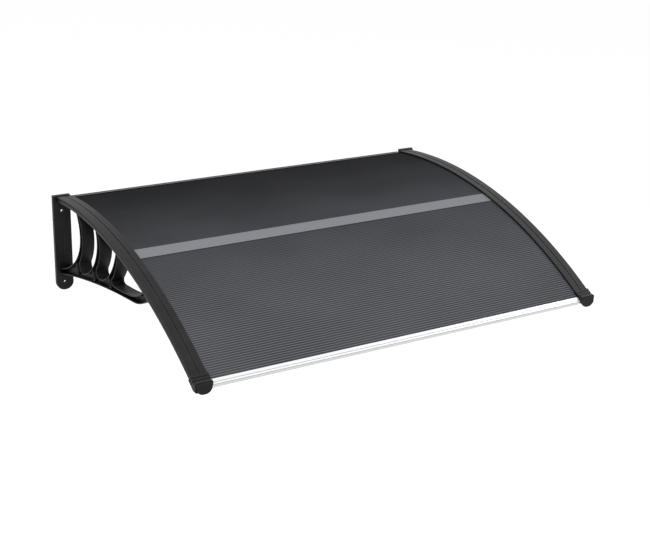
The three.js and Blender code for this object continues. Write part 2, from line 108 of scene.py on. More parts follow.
BAR_WIDTH = 43
BAR_THICKNESS = 3
BAR_REACH = 468
BAR_SOCKET = 14
BAR_PAD = 4
BAR_PAD_MARGIN = 5

# How far in front of its place the bar seems to lie, seen through the sheet
BAR_SEEN_FORWARD = 11

PROFILE_WALL = 1.8
FRONT_LIP = 13
FRONT_FACE = 15
FRONT_GROOVE = 1
FRONT_GROOVE_DEPTH = 0.6
FRONT_GROOVE_SETBACK = 5.4
FRONT_GROOVE_DROP = 0.8
FRONT_EDGE = 0.2
REAR_LIP = 8
REAR_WALL_ABOVE = 3
REAR_WALL_BELOW = 13
REAR_EDGE = 0.4

CAP_WALL = 1.6
CAP_SLEEVE = 30
CAP_SLEEVE_CORNER = 1.4
CAP_SLEEVE_EDGE = 0.7
CAP_NOSE_LENGTH = 9
CAP_NOSE_BACK = 5.5
CAP_NOSE_HEIGHT = 26.5
CAP_NOSE_CROWN = 1.4
CAP_TOP_RADIUS = 4
CAP_OUTER_FOOT_RADIUS = 4
CAP_INNER_FOOT_RADIUS = 16
CAP_BEVEL = 1.5
CAP_FACE_DEPTH = 2.5
CAP_FACE_INSET = 1.5
CAP_FACE_RADIUS = 18
CAP_FACE_DROP = 31.5
CAP_GROOVE = 2.4
CAP_GROOVE_DEPTH = 0.9
CAP_GROOVE_SLOPE = 0.2
CAP_GROOVE_PLACES = (-23, -14)

SHANK_RADIUS = 1.65
HEAD_RADIUS = 3.6
HEAD_HEIGHT = 2.2
HEAD_ANGLES = (76, 62, 48, 34, 20, 8, 0)
TIP_LENGTH = 1.2
TIP_SHARE = 0.45
RECESS_REACH = 2
RECESS_HALF = 0.45
RECESS_DEPTH = 1.1
RECESS_TAPER = 0.2
SCREW_INSET = 23.5
COVER_SKIN = 1.3
COVER_SCREW_REACHES = (100, 240, 385, 550, 700, 840)
CAP_SCREW_SETBACK = 17.3

# How round the moulded edges are, and how far cutting shapes run on past what they cut
EDGE = 0.9
FINE_EDGE = 0.5
OVERSHOOT = 1

# Smoothness of the round shapes
ARCH_STEPS = 110
BRACE_STEPS = 60
CURVE_STEPS = 18
BEVEL_STEPS = 5
EDGE_STEPS = 3
SKIN_STEPS = 4
SLEEVE_STEPS = 4
BAND_STEPS = 16
TURNED_STEPS = 24
SHARP_ANGLE = 42

# Sizes that follow from those above
ARCH_CENTRE_HEIGHT = CROWN_HEIGHT - ARCH_RADIUS
LEFT_SIDE = -OVERALL_WIDTH / 2
ARM_INNER = ARM_INSET + ARM_WIDTH
SEAT_RISE = -SHEET_THICKNESS - FIT
UNDER_RISE = SEAT_RISE - ARM_FLANGE
COVER_TOP = FIT + COVER_HEIGHT
SHEET_EDGE = ARM_INSET + ARM_WALL + FIT
CAP_OUTER = ARM_INSET - FIT - CAP_WALL
CAP_INNER = ARM_INNER + FIT + CAP_WALL
CAP_TOP = COVER_TOP + FIT + CAP_WALL
CAP_FOOT = UNDER_RISE - FIT - CAP_WALL
WEB_INSET = ARM_INSET + (BRACE_WIDTH - BRACE_WEB) / 2
SCREW_HOLE_RADIUS = SHANK_RADIUS + FIT


# Arch line

def angle_at(reach):
    return math.asin((reach - CROWN_REACH) / ARCH_RADIUS)


def arch_height(reach, rise=0):
    radius = ARCH_RADIUS + rise
    return ARCH_CENTRE_HEIGHT + math.sqrt(radius ** 2 - (reach - CROWN_REACH) ** 2)


def arch_point(angle, rise=0):
    radius = ARCH_RADIUS + rise
    return Vector((CROWN_REACH + radius * math.sin(angle),
                   ARCH_CENTRE_HEIGHT + radius * math.cos(angle)))


def tangent_point(angle, along, rise):
    base = arch_point(angle, rise)
    return Vector((base.x + along * math.cos(angle), base.y - along * math.sin(angle)))


REAR_ANGLE = angle_at(SHEET_REAR_REACH)
FRONT_ANGLE = angle_at(ROOF_REACH)
SHEET_TURN = FRONT_ANGLE - REAR_ANGLE
FLUTES = math.floor((SHEET_TURN * ARCH_RADIUS - SHEET_WEB) / FLUTE_PITCH)
CAP_NOSE_TOP = arch_height(ROOF_REACH - CAP_NOSE_BACK, CAP_TOP) + CAP_NOSE_CROWN
REAR_WALL_TOP = arch_height(0) + REAR_WALL_ABOVE
REAR_WALL_FOOT = arch_height(0) - REAR_WALL_BELOW
ORIGIN_HEIGHT = (REAR_WALL_TOP + REAR_WALL_FOOT) / 2


# Places in space, in metres

def in_space(x, reach, height):
    return Vector((x * MM, -reach * MM, (height - ORIGIN_HEIGHT) * MM))


def side_place(point, x):
    """A (reach, height) point at a place along the wall."""
    return in_space(x, point.x, point.y)


def left_side_place(point, inset):
    return in_space(LEFT_SIDE + inset, point.x, point.y)


def left_front_place(point, reach):
    """An (inset, height) point of the left side, at a reach."""
    return in_space(LEFT_SIDE + point.x, reach, point.y)


def left_arch_place(point, angle):
    """An (inset, rise) point of the left side, at an angle of the arch."""
    place = arch_point(angle, point.y)
    return in_space(LEFT_SIDE + point.x, place.x, place.y)


# Outlines

def outline(points):
    """Points as vectors, turned so that they run anticlockwise."""
    loop = [Vector(p) for p in points]
    area = sum(a.x * b.y - b.x * a.y for a, b in zip(loop, loop[1:] + loop[:1]))
    return loop if area > 0 else loop[::-1]


def rectangle(x0, y0, x1, y1):
    return outline([(x0, y0), (x1, y0), (x1, y1), (x0, y1)])


def curve(start, control, end, steps):
    """Points of a quadratic curve, both ends included."""
    shares = [i / steps for i in range(steps + 1)]
    return [start * (1 - t) ** 2 + control * (2 * t * (1 - t)) + end * t ** 2 for t in shares]


def quarter_turns(first, steps):
    """Angles of a quarter turn from a first one, both ends included."""
    return [first + math.pi / 2 * i / steps for i in range(steps + 1)]


def arc(centre, radius, first, steps):
    """Points of a quarter turn about a centre, both ends included."""
    turns = quarter_turns(first, steps)
    return [centre + Vector((math.cos(t), math.sin(t))) * radius for t in turns]


def rounded(points, radius):
    """An outline with its corners rounded. Nearly straight corners stay."""
    nearly_straight = math.radians(165)
    longest_cut = 0.45
    loop = outline(points)
    result = []
    for i, corner in enumerate(loop):
        back = loop[i - 1] - corner
        ahead = loop[(i + 1) % len(loop)] - corner
        angle = back.angle(ahead)
        if angle > nearly_straight:
            result.append(corner)
            continue
        room = longest_cut * min(back.length, ahead.length)
        cut_back = min(radius / math.tan(angle / 2), room)
        start = corner + back.normalized() * cut_back
        end = corner + ahead.normalized() * cut_back
        result.extend(curve(start, corner, end, EDGE_STEPS))
    return result


def grown(points, distance):
    """An anticlockwise outline moved out of itself, with mitred corners."""
    result = []
    for i, point in enumerate(points):
        into = (point - points[i - 1]).normalized()
        out = (points[(i + 1) % len(points)] - point).normalized()
        normal = Vector((into.y + out.y, -into.x - out.x))
        result.append(point + normal * (2 * distance / max(normal.length_squared, 1.0)))
    return result


def rounded_start(start, edge, steps=EDGE_STEPS):
    """Layers (depth, growth) of a bar's first end, rounded over."""
    turns = reversed(quarter_turns(0, steps))
    return [(start + edge * (1 - math.sin(t)), -edge * (1 - math.cos(t))) for t in turns]


def rounded_finish(end, edge, steps=EDGE_STEPS):
    """Layers (depth, growth) of a bar's last end, rounded over."""
    turns = quarter_turns(0, steps)
    return [(end - edge * (1 - math.sin(t)), -edge * (1 - math.cos(t))) for t in turns]


def rounded_ends(start, end, edge, steps=EDGE_STEPS):
    return rounded_start(start, edge, steps) + rounded_finish(end, edge, steps)


# Meshes

def new_object(name, mesh):
    made = bpy.data.objects.new(name, mesh)
    bpy.context.scene.collection.objects.link(made)
    return made


def closed_mesh(name, verts, faces):
    """An object made of faces that close on themselves, all turned to point out."""
    mesh = bpy.data.meshes.new(name)
    mesh.from_pydata(verts, [], faces)
    work = bmesh.new()
    work.from_mesh(mesh)
    bmesh.ops.recalc_face_normals(work, faces=work.faces)
    work.to_mesh(mesh)
    work.free()
    return new_object(name, mesh)


def side_faces(start, count):
    """Faces between two rings of as many points, the second one stored after the first."""
    return [(start + i, start + (i + 1) % count,
             start + count + (i + 1) % count, start + count + i) for i in range(count)]


def loft(name, rings):
    """A closed solid through rings of points, with both ends filled."""
    count = len(rings[0])
    verts = [place for ring in rings for place in ring]
    faces = []
    for r in range(len(rings) - 1):
        faces += side_faces(r * count, count)
    for r in (0, len(rings) - 1):
        fill = tessellate_polygon([rings[r]])
        faces += [tuple(r * count + i for i in triangle) for triangle in fill]
    return closed_mesh(name, verts, faces)


def layered(name, points, layers, place):
    """An outline carried through layers of (depth, growth), each placed in space."""
    rings = [[place(p, depth) for p in grown(points, growth)] for depth, growth in layers]
    return loft(name, rings)


def turned(name, profile, centre, axis):
    """A solid turned about an axis, from (radius, distance along) points off the axis."""
    side = axis.orthogonal().normalized()
    other = axis.cross(side)
    spokes = [side * math.cos(a) + other * math.sin(a)
              for a in (math.tau * i / TURNED_STEPS for i in range(TURNED_STEPS))]
    rings = [[centre + axis * (along * MM) + spoke * (radius * MM) for spoke in spokes]
             for radius, along in profile]
    return loft(name, rings)


def hollow_extrusion(name, loops, left):
    """A solid drawn along the wall from one side to the other, from an outer loop of
    (reach, height) points and the loops of the hollows in it."""
    verts, faces, ends = [], [], []
    for loop in loops:
        start, count = len(verts), len(loop)
        verts += [side_place(p, x) for x in (left, -left) for p in loop]
        faces += side_faces(start, count)
        ends += [(start + i, start + count + i) for i in range(count)]
    fill = tessellate_polygon([[Vector((p.x, p.y, 0)) for p in loop] for loop in loops])
    faces += [tuple(ends[i][end] for i in triangle) for triangle in fill for end in (0, 1)]
    return closed_mesh(name, verts, faces)


def combined(base, others, operation):
    """The base solid after each of the others is joined to it or cut from it."""
    for other in others:
        step = base.modifiers.new("step", "BOOLEAN")
        step.operation = operation
        step.solver = "MANIFOLD"
        step.object = other
    graph = bpy.context.evaluated_depsgraph_get()
    mesh = bpy.data.meshes.new_from_object(base.evaluated_get(graph))
    name = base.name
    for used in [base, *others]:
        bpy.data.objects.remove(used)
    return new_object(name, mesh)


def joined(base, others):
    return combined(base, others, "UNION")


def cut(base, others):
    return combined(base, others, "DIFFERENCE")


def mirrored(piece, name):
    """The right-hand twin of a left-hand piece."""
    mesh = piece.data.copy()
    mesh.transform(Matrix.Diagonal((-1, 1, 1, 1)))
    mesh.flip_normals()
    return new_object(name, mesh)


def smooth(piece):
    """Shades the round stretches smooth and keeps the flat faces flat."""
    mesh = piece.data
    work = bmesh.new()
    work.from_mesh(mesh)
    for face in work.faces:
        face.smooth = True
    limit = math.radians(SHARP_ANGLE)
    for edge in work.edges:
        edge.smooth = len(edge.link_faces) == 2 and edge.calc_face_angle(math.pi) < limit
    work.to_mesh(mesh)
    work.free()
    weigh = piece.modifiers.new("weighted_normal", "WEIGHTED_NORMAL")
    weigh.mode = "FACE_AREA_WITH_ANGLE"
    weigh.weight = 100
    weigh.keep_sharp = True


# Bracket: wall plate

def wall_plate():
    radius = PLATE_FOOT_RADIUS
    shape = outline([
        Vector((0, PLATE_HEIGHT)),
        *arc(Vector((radius, radius)), radius, math.pi, CURVE_STEPS),
        *arc(Vector((PLATE_WIDTH - radius, radius)), radius, 1.5 * math.pi, CURVE_STEPS),
        Vector((PLATE_WIDTH, PLATE_HEIGHT)),
    ])
    layers = [(0, 0), *rounded_finish(PLATE_DEPTH, EDGE)]
    plate = layered("plate", shape, layers, left_front_place)
    return cut(plate, [*plate_pockets(), *[fixing_hole(h) for h in FIXING_HEIGHTS]])


def plate_pockets():
    low, high = FIXING_HEIGHTS
    middle = PLATE_HEIGHT / 2
    columns = [(PLATE_WALL, WEB_INSET), (WEB_INSET + BRACE_WEB, PLATE_WIDTH - PLATE_WALL)]
    rows = [(low + FIXING_LAND, middle - MIDDLE_LAND), (middle + MIDDLE_LAND, high - FIXING_LAND)]
    layers = [(-OVERSHOOT, 0), (PLATE_DEPTH - PLATE_FACE, -FINE_EDGE)]
    shapes = [rounded(rectangle(x0, y0, x1, y1), POCKET_CORNER)
              for x0, x1 in columns for y0, y1 in rows]
    return [layered("pocket", shape, layers, left_front_place) for shape in shapes]


def fixing_hole(height):
    """A hole with a small countersink at the face."""
    centre = in_space(LEFT_SIDE + PLATE_WIDTH / 2, 0, height)
    sunk_radius = FIXING_RADIUS + COUNTERSINK
    profile = [
        (FIXING_RADIUS, -OVERSHOOT), (FIXING_RADIUS, PLATE_DEPTH - COUNTERSINK_DEPTH),
        (sunk_radius, PLATE_DEPTH - COUNTERSINK_RIM), (sunk_radius, PLATE_DEPTH + OVERSHOOT),
    ]
    return turned("fixing_hole", profile, centre, Vector((0, -1, 0)))


def face_bead():
    """The low bead that runs down the plate's face, in line with the brace's web."""
    low = lower_edge(PLATE_DEPTH) + FIXING_LAND
    high = FIXING_HEIGHTS[1] - FIXING_LAND
    shape = rectangle(WEB_INSET, low, WEB_INSET + BRACE_WEB, high)
    layers = [(PLATE_DEPTH / 2, 0), *rounded_finish(PLATE_DEPTH + PLATE_BEAD, BEAD_EDGE)]
    return layered("bead", shape, layers, left_front_place)


# Bracket: brace

def chord_nose_height():
    return arch_height(CHORD_NOSE_REACH, UNDER_RISE) - CHORD_NOSE_DROP


def quadratic(start, control, end, t):
    return (1 - t) ** 2 * start + 2 * t * (1 - t) * control + t ** 2 * end


def lower_edge(reach):
    """A shallow bow from the plate, then a bend up to the arm."""
    nose = chord_nose_height()
    span = CHORD_NOSE_REACH - PLATE_DEPTH
    bow = (CHORD_FOOT_HEIGHT + nose) / 2 + CHORD_BOW
    if reach <= CHORD_NOSE_REACH:
        return quadratic(CHORD_FOOT_HEIGHT, bow, nose, (reach - PLATE_DEPTH) / span)
    tip_span = BRACE_TIP_REACH - CHORD_NOSE_REACH
    tip_control = nose + (nose - bow) / span * tip_span
    tip = arch_height(BRACE_TIP_REACH, UNDER_RISE)
    return quadratic(nose, tip_control, tip, (reach - CHORD_NOSE_REACH) / tip_span)


def above_edge(reach, height):
    return Vector((reach, lower_edge(reach) + height))


def across_gap(reach, share):
    low = lower_edge(reach)
    return Vector((reach, low + (arch_height(reach, UNDER_RISE) - low) * share))


def past_arm(reach):
    return Vector((reach, arch_height(reach)))


# Each opening between the ribs: heads at the arm as reaches, bellies as a reach and a share
# of the way up, and the rest as a reach and a height above the lower edge
OPENINGS = [
    {"rear_head": 6, "rear_belly": (6, 0.6), "rear_foot": (6, 26), "corner": (6, 18),
     "base": (14, 17), "sweep": (120, 20), "front_belly": (245, 0.42), "front_head": 162},
    {"rear_head": 179, "rear_belly": (236, 0.61), "rear_foot": (178, 45), "corner": (180, 22),
     "base": (200, 18), "sweep": (262, 15), "front_belly": (350, 0.6), "front_head": 304},
    {"rear_head": 314, "rear_belly": (365, 0.75), "rear_foot": (306, 42), "corner": (303, 22),
     "base": (324, 19), "sweep": (380, 15), "front_belly": (432, 0.52), "front_head": 450},
    {"rear_head": 464, "rear_belly": (448, 0.53), "rear_foot": (417, 32), "corner": (411, 17),
     "base": (434, 16), "sweep": (520, 12), "front_belly": (585, 0.196), "front_head": 626},
]

DROPS = [
    {"tip": (149, 40), "tail": (158, 12)},
    {"tip": (277, 32), "tail": (287, 9)},
    {"tip": (393, 31), "tail": (406, 9)},
]


def opening_points(opening):
    rear_foot = above_edge(*opening["rear_foot"])
    base = above_edge(*opening["base"])
    rear = curve(past_arm(opening["rear_head"]), across_gap(*opening["rear_belly"]), rear_foot,
                 CURVE_STEPS)
    corner = curve(rear_foot, above_edge(*opening["corner"]), base, CURVE_STEPS // 2)
    sweep = above_edge(*opening["sweep"])
    belly = across_gap(*opening["front_belly"])
    head = past_arm(opening["front_head"])
    front = []
    for i in range(1, CURVE_STEPS + 1):
        t = i / CURVE_STEPS
        front.append(base * (1 - t) ** 3 + sweep * (3 * t * (1 - t) ** 2)
                     + belly * (3 * t ** 2 * (1 - t)) + head * t ** 3)
    return outline(rear + corner[1:] + front)


def drop_points(drop):
    tip = above_edge(*drop["tip"])
    axis = above_edge(*drop["tail"]) - tip
    along = axis.normalized()
    across = Vector((-along.y, along.x))
    centre = axis.length - DROP_RADIUS
    shoulder = (axis.length * DROP_SHOULDER, DROP_RADIUS * DROP_SHOULDER_WIDTH)
    places = [(0, 0), shoulder]
    for i in range(CURVE_STEPS + 1):
        turn = math.pi / 2 - math.pi * i / CURVE_STEPS
        places.append((centre + DROP_RADIUS * math.cos(turn), DROP_RADIUS * math.sin(turn)))
    places.append((shoulder[0], -shoulder[1]))
    return outline([tip + along * a + across * b for a, b in places])


def brace_outline(rim, rear_reach, front_reach, top_rise):
    step = (front_reach - rear_reach) / BRACE_STEPS
    reaches = [rear_reach + step * i for i in range(BRACE_STEPS + 1)]
    lower = [Vector((r, lower_edge(max(r, PLATE_DEPTH)) + rim)) for r in reaches]
    upper = [Vector((r, arch_height(r, top_rise))) for r in reversed(reaches)]
    return outline(lower + upper)


def flare(near, far, face, sign):
    """Layers of a cutter that opens out by an edge rounding where it meets a face. The
    cutter runs from past the face, near, to its far end. A sign of -1 shrinks instead."""
    way = 1 if far > near else -1
    bend = [(face + way * EDGE * (1 - math.cos(t)), sign * EDGE * (1 - math.sin(t)))
            for t in quarter_turns(0, EDGE_STEPS)]
    return [(near, sign * EDGE), *bend, (far, 0)]


def through_layers(low, high):
    """Layers of a cutter that goes right through and rounds the edges on both faces."""
    first = flare(low - OVERSHOOT, high, low, 1)[:-1]
    last = flare(high + OVERSHOOT, low, high, 1)[:-1]
    return first + last[::-1]


def brace_pocket(near, face, far, holes):
    """The hollow of one side of the brace, from outside its face to its web, less the rims
    round the openings."""
    way = 1 if far > near else -1
    field = brace_outline(RIM_WIDTH, PLATE_DEPTH - POCKET_ROOT, BRACE_TIP_REACH - POCKET_TIP_GAP,
                          UNDER_RISE + POCKET_ROOT)
    pocket = layered("pocket", field, flare(near, far, face, 1), left_side_place)
    rim_layers = flare(near - way, far + way, face, -1)
    rims = [layered("rim", grown(hole, RIM_WIDTH), rim_layers, left_side_place) for hole in holes]
    return cut(pocket, rims)


def brace():
    low, high = ARM_INSET, ARM_INSET + BRACE_WIDTH
    holes = [opening_points(o) for o in OPENINGS] + [drop_points(d) for d in DROPS]
    shape = brace_outline(0, PLATE_DEPTH / 2, BRACE_TIP_REACH, (UNDER_RISE + SEAT_RISE) / 2)
    whole = layered("brace", shape, rounded_ends(low, high, EDGE), left_side_place)
    pockets = [brace_pocket(low - OVERSHOOT, low, WEB_INSET, holes),
               brace_pocket(high + OVERSHOOT, high, WEB_INSET + BRACE_WEB, holes)]
    through = [layered("hole", hole, through_layers(low, high), left_side_place) for hole in holes]
    return cut(whole, [*through, *pockets])


# Bracket: arm, with the socket of the centre bar and the screw holes

def arch_layers(start):
    """Layers along the arch, from an angle to the roof's front."""
    step = (FRONT_ANGLE - start) / ARCH_STEPS
    return [(start + step * i, 0) for i in range(ARCH_STEPS + 1)]


def arm():
    section = rounded([
        (ARM_INSET, UNDER_RISE), (ARM_INNER, UNDER_RISE), (ARM_INNER, SEAT_RISE),
        (ARM_INSET + ARM_WALL, SEAT_RISE), (ARM_INSET + ARM_WALL, 0), (ARM_INSET, 0),
    ], EDGE)
    return layered("arm", section, arch_layers(angle_at(PLATE_DEPTH / 2)), left_arch_place)


def arch_band(centre, half, low_rise, high_rise):
    angles = [centre - half + 2 * half * i / BAND_STEPS for i in range(BAND_STEPS + 1)]
    return outline([arch_point(a, low_rise) for a in angles]
                   + [arch_point(a, high_rise) for a in reversed(angles)])


def bar_half_angle(margin):
    return (BAR_WIDTH / 2 + margin) / ARCH_RADIUS


def bar_pad():
    top = SEAT_RISE - BAR_THICKNESS - FIT
    band = arch_band(angle_at(BAR_REACH), bar_half_angle(BAR_PAD_MARGIN), top - BAR_PAD,
                     (top + UNDER_RISE) / 2)
    layers = rounded_ends(ARM_INNER - BAR_SOCKET - BAR_PAD, ARM_INNER, FINE_EDGE)
    return layered("bar_pad", band, layers, left_side_place)


def bar_socket():
    band = arch_band(angle_at(BAR_REACH), bar_half_angle(FIT), SEAT_RISE - BAR_THICKNESS - FIT,
                     OVERSHOOT)
    layers = [(ARM_INNER - BAR_SOCKET, 0), (ARM_INNER + OVERSHOOT, 0)]
    return layered("bar_socket", band, layers, left_side_place)


def screw_hole(angle, from_rise, to_rise):
    base = arch_point(angle)
    centre = in_space(LEFT_SIDE + SCREW_INSET, base.x, base.y)
    axis = Vector((0, -math.sin(angle), math.cos(angle)))
    profile = [(SCREW_HOLE_RADIUS, from_rise), (SCREW_HOLE_RADIUS, to_rise)]
    return turned("screw_hole", profile, centre, axis)


def cover_screw_holes(from_rise, to_rise):
    return [screw_hole(angle_at(r), from_rise, to_rise) for r in COVER_SCREW_REACHES]


def cap_screw_angle():
    return FRONT_ANGLE - CAP_SCREW_SETBACK / ARCH_RADIUS


def cap_screw_hole():
    return screw_hole(cap_screw_angle(), CAP_FOOT - OVERSHOOT, SEAT_RISE + OVERSHOOT)


def bracket():
    body = joined(wall_plate(), [brace(), face_bead(), arm(), bar_pad()])
    holes = cover_screw_holes(UNDER_RISE - OVERSHOOT, SEAT_RISE + OVERSHOOT)
    body = cut(body, [bar_socket(), *holes, cap_screw_hole()])
    body.name = "left_bracket_moulding"
    return body


# Roof sheet: two skins that sink a little between the webs, with the flutes along the wall

def skin_line(rise, sink):
    """Points along a skin, from web to web, each stretch sunk in its middle."""
    result = []
    for i in range(FLUTES * SKIN_STEPS + 1):
        share = i / SKIN_STEPS
        dip = sink * math.sin(math.pi * share) ** 2
        result.append(arch_point(REAR_ANGLE + SHEET_TURN * share / FLUTES, rise + dip))
    return result


def roof_sheet():
    step = SHEET_TURN / FLUTES
    half_web = SHEET_WEB / 2 / ARCH_RADIUS
    low, high = SHEET_SKIN - SHEET_THICKNESS + SKIN_SINK, -SHEET_SKIN - SKIN_SINK
    loops = [skin_line(-SHEET_THICKNESS, SKIN_SINK) + skin_line(0, -SKIN_SINK)[::-1]]
    for i in range(FLUTES):
        rear = REAR_ANGLE + i * step + half_web * (2 if i == 0 else 1)
        front = REAR_ANGLE + (i + 1) * step - half_web * (2 if i == FLUTES - 1 else 1)
        corners = ((rear, low), (rear, high), (front, high), (front, low))
        loops.append([arch_point(angle, rise) for angle, rise in corners])
    return hollow_extrusion("roof_sheet_panel", loops, LEFT_SIDE + SHEET_EDGE)


# Cover strip

def cover_strip():
    outer, inner, top = ARM_INSET, ARM_INNER, COVER_TOP
    gap = FIT + COVER_SETBACK_HEIGHT
    groove = GROOVE_WIDTH / 2
    section = rounded([
        (outer + COVER_SETBACK, FIT), (inner, FIT),
        (inner, top - COVER_CHAMFER), (inner - COVER_CHAMFER, top),
        (GROOVE_INSET + groove, top), (GROOVE_INSET + groove / 2, top - GROOVE_DEPTH),
        (GROOVE_INSET - groove / 2, top - GROOVE_DEPTH), (GROOVE_INSET - groove, top),
        (outer + COVER_CHAMFER, top), (outer, top - COVER_CHAMFER),
        (outer, gap), (outer + COVER_SETBACK, gap),
    ], FINE_EDGE)
    lean = max(0, -math.sin(angle_at(PLATE_DEPTH))) * top
    layers = arch_layers(angle_at(PLATE_DEPTH + FIT + lean))
    strip = layered("strip", section, layers, left_arch_place)
    strip = cut(strip, cover_screw_holes(0, top - COVER_SKIN))
    strip.name = "left_cover_strip_moulding"
    return strip


# Straight profiles along the wall

def profile_section(angle, points):
    return [tangent_point(angle, along, rise) for along, rise in points]


def straight(name, section, left, radius):
    shape = rounded(section, radius)
    return layered(name, shape, [(left, 0), (-left, 0)], side_place)


def front_profile():
    slot = -SHEET_THICKNESS - FIT
    outer = FIT + PROFILE_WALL
    groove_floor = outer - FRONT_GROOVE_DEPTH
    foot = outer - FRONT_FACE
    top_groove = outer - FRONT_GROOVE_SETBACK
    face_groove = outer - FRONT_GROOVE_DROP
    section = profile_section(FRONT_ANGLE, [
        (-FRONT_LIP, FIT), (FIT, FIT), (FIT, slot), (-FRONT_LIP, slot),
        (-FRONT_LIP, slot - PROFILE_WALL), (FIT, slot - PROFILE_WALL), (FIT, foot), (outer, foot),
        (outer, face_groove - FRONT_GROOVE), (groove_floor, face_groove - FRONT_GROOVE),
        (groove_floor, face_groove), (outer, face_groove), (outer, outer), (top_groove, outer),
        (top_groove, groove_floor), (top_groove - FRONT_GROOVE, groove_floor),
        (top_groove - FRONT_GROOVE, outer), (-FRONT_LIP, outer),
    ])
    left = LEFT_SIDE + ARM_INNER + CAP_WALL + FIT * 2
    return straight("front_profile_extrusion", section, left, FRONT_EDGE)


def rear_profile():
    slot = -SHEET_THICKNESS - FIT
    back = -(SHEET_REAR_REACH - PROFILE_WALL / 2) / math.cos(REAR_ANGLE)
    section = profile_section(REAR_ANGLE, [
        (back, FIT + PROFILE_WALL), (back, slot - PROFILE_WALL), (REAR_LIP, slot - PROFILE_WALL),
        (REAR_LIP, slot), (-FIT, slot), (-FIT, FIT), (REAR_LIP, FIT),
        (REAR_LIP, FIT + PROFILE_WALL),
    ])
    hollow = outline(profile_section(REAR_ANGLE, [
        (back + PROFILE_WALL, FIT), (back + PROFILE_WALL, slot),
        (-FIT - PROFILE_WALL, slot), (-FIT - PROFILE_WALL, FIT),
    ]))
    left = LEFT_SIDE + ARM_INNER + FIT
    ends = [(left - OVERSHOOT, 0), (-left + OVERSHOOT, 0)]
    slot_part = straight("slot", section, left, REAR_EDGE)
    slot_part = cut(slot_part, [layered("hollow", hollow, ends, side_place)])
    wall_section = rectangle(0, REAR_WALL_FOOT, PROFILE_WALL, REAR_WALL_TOP)
    whole = joined(slot_part, [straight("wall", wall_section, left, REAR_EDGE)])
    whole.name = "rear_profile_extrusion"
    return whole


def centre_bar():
    band = arch_band(angle_at(BAR_REACH), bar_half_angle(0), SEAT_RISE - BAR_THICKNESS, SEAT_RISE)
    left = LEFT_SIDE + ARM_INNER - BAR_SOCKET + FIT
    return straight("centre_bar_flat", band, left, FINE_EDGE)


# End cap

def cap_place(point, along):
    """An (inset, rise) point of the left side, at a distance along the arch from the arm's end."""
    return left_arch_place(point, FRONT_ANGLE + along / ARCH_RADIUS)


def cap_sleeve():
    section = rounded(rectangle(CAP_OUTER, CAP_FOOT, CAP_INNER, CAP_TOP), CAP_SLEEVE_CORNER)
    layers = rounded_start(-CAP_SLEEVE, CAP_SLEEVE_EDGE)
    for start in CAP_GROOVE_PLACES:
        end = start + CAP_GROOVE
        layers += [(start, 0), (start + CAP_GROOVE_SLOPE, -CAP_GROOVE_DEPTH),
                   (end - CAP_GROOVE_SLOPE, -CAP_GROOVE_DEPTH), (end, 0)]
    layers.append((FIT, 0))
    return layered("sleeve", section, layers, cap_place)


def nose_outline(inset, foot, outer_radius, inner_radius):
    """The (inset, height) outline of the nose or its face, from the top less an inset to a foot."""
    x0, x1 = CAP_OUTER + inset, CAP_INNER - inset
    y0, y1 = CAP_NOSE_TOP - foot, CAP_NOSE_TOP - inset
    top = CAP_TOP_RADIUS
    corners = [
        ((x0 + outer_radius, y0 + outer_radius), outer_radius, math.pi),
        ((x1 - inner_radius, y0 + inner_radius), inner_radius, 1.5 * math.pi),
        ((x1 - top, y1 - top), top, 0),
        ((x0 + top, y1 - top), top, 0.5 * math.pi),
    ]
    arcs = [arc(Vector(centre), radius, first, CURVE_STEPS // 2) for centre, radius, first in corners]
    return outline(sum(arcs, []))


def cap_nose():
    back = ROOF_REACH - CAP_NOSE_BACK
    face = ROOF_REACH + CAP_NOSE_LENGTH - CAP_FACE_DEPTH
    shape = nose_outline(CAP_BEVEL, CAP_NOSE_HEIGHT - CAP_BEVEL,
                         CAP_OUTER_FOOT_RADIUS, CAP_INNER_FOOT_RADIUS)
    layers = [(depth, CAP_BEVEL + growth)
              for depth, growth in rounded_ends(back, face, CAP_BEVEL, BEVEL_STEPS)]
    body = layered("nose", shape, layers, left_front_place)
    plate_shape = nose_outline(CAP_BEVEL + CAP_FACE_INSET, CAP_FACE_DROP,
                               CAP_FACE_RADIUS, CAP_FACE_RADIUS)
    plate_layers = rounded_ends(face - CAP_BEVEL * 2, face + CAP_FACE_DEPTH, FINE_EDGE)
    return joined(body, [layered("plate", plate_shape, plate_layers, left_front_place)])


def end_cap():
    deep = -CAP_SLEEVE - OVERSHOOT
    layers = [(deep + (FIT - deep) * i / SLEEVE_STEPS, 0) for i in range(SLEEVE_STEPS + 1)]
    arm_space = rectangle(ARM_INSET - FIT, UNDER_RISE - FIT, ARM_INNER + FIT, COVER_TOP + FIT)
    sheet_space = rectangle(ARM_INNER, SEAT_RISE, CAP_INNER + OVERSHOOT, FIT)
    spaces = [layered("space", s, layers, cap_place) for s in (arm_space, sheet_space)]
    body = cut(joined(cap_sleeve(), [cap_nose()]), [*spaces, cap_screw_hole()])
    body.name = "left_end_cap_moulding"
    return body


# Screws

def recess_slot(centre, along, across, axis):
    """One slot of a head's cross recess, a little narrower at its bottom."""
    head_top = -FIT - HEAD_HEIGHT
    shape = rectangle(-RECESS_REACH, -RECESS_HALF, RECESS_REACH, RECESS_HALF)
    layers = [(head_top - OVERSHOOT, 0), (head_top + RECESS_DEPTH, -RECESS_TAPER)]

    def place(p, depth):
        return centre + (along * p.x + across * p.y + axis * depth) * MM

    return layered("slot", shape, layers, place)


